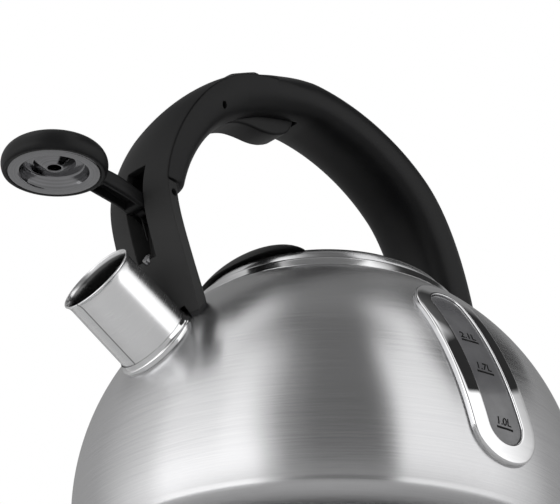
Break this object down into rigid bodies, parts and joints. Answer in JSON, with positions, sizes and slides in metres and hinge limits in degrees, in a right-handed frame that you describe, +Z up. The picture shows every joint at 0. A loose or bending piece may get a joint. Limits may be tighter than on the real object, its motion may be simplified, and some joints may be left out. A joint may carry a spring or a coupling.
{
  "type": "stovetop whistling kettle",
  "caption": "Round steel stovetop kettle with a lift-off lid, level window and arched black handle; a trigger in the grip tips the whistling spout cap open.",
  "frame": {"origin": "centre of the base's flat underside, on the stove surface", "axes": "+Z up, the spout points along -X, the handle arches in the X-Z plane, the level window faces -Y"},
  "size_m": [0.2628, 0.2068, 0.2245],
  "materials": {
    "brushed_steel": "fine horizontal brushing",
    "polished_steel": "polished steel",
    "plain_steel": "plain sheet and wire",
    "aluminium": "hidden heat spreader",
    "black_plastic": "fine soft-touch texture",
    "soft_rubber": "soft thumb rest",
    "seal": "silicone seal",
    "gauge_glass": "grey tinted window",
    "print_black": "printed scale"
  },
  "bodies": {
    "kettle": {"body_shell": "brushed_steel", "neck_ring": "polished_steel", "bottom_plate": "brushed_steel", "core_disc": "aluminium", "base_cap": "brushed_steel", "spout_tube": "brushed_steel", "spout_flare": "polished_steel", "gauge_frame": "polished_steel", "gauge_glass": "gauge_glass", "gauge_gasket": "seal", "gauge_clamp": "plain_steel", "gauge_screws": "plain_steel", "gauge_marks": "print_black", "front_strut": "black_plastic", "handle_grip": "black_plastic", "thumb_pad": "soft_rubber", "front_pad": "seal", "rear_pad": "seal", "front_bracket": "plain_steel", "rear_bracket": "plain_steel", "handle_screws": "plain_steel", "trigger_pin": "plain_steel", "arm_pin": "plain_steel", "arm_spring": "plain_steel"},
    "lid": {"lid_shell": "brushed_steel", "lid_cover": "black_plastic", "lid_gasket": "seal", "lid_screw": "plain_steel"},
    "cap": {"cap_arm": "black_plastic", "cap_cover": "black_plastic", "whistle_plate": "polished_steel", "whistle_disc": "plain_steel"},
    "rod": {"push_rod": "plain_steel"},
    "trigger": {"trigger": "black_plastic"}
  },
  "joints": [
    {"name": "cap_hinge", "type": "hinge", "parent": "kettle", "child": "cap", "pos_m": [-0.0953, 0, 0.1397], "axis": [0, -1, 0], "range_deg": [0, 57.6]},
    {"name": "rod_hinge", "type": "hinge", "parent": "cap", "child": "rod", "pos_m": [-0.09299, 0, 0.13694], "axis": [0, -1, 0], "range_deg": [-53.74, 0]},
    {"name": "trigger_hinge", "type": "hinge", "parent": "kettle", "child": "trigger", "pos_m": [-0.0685, 0, 0.1897], "axis": [0, 1, 0], "range_deg": [0, 22.78]},
    {"name": "lid_lift", "type": "slide", "parent": "kettle", "child": "lid", "axis": [0, 0, 1], "range_m": [0, 0.026]}
  ],
  "couplings": [
    {"joint": "trigger_hinge", "follows": "cap_hinge", "ratio": 0.39202},
    {"joint": "rod_hinge", "follows": "cap_hinge", "ratio": -0.92598}
  ]
}
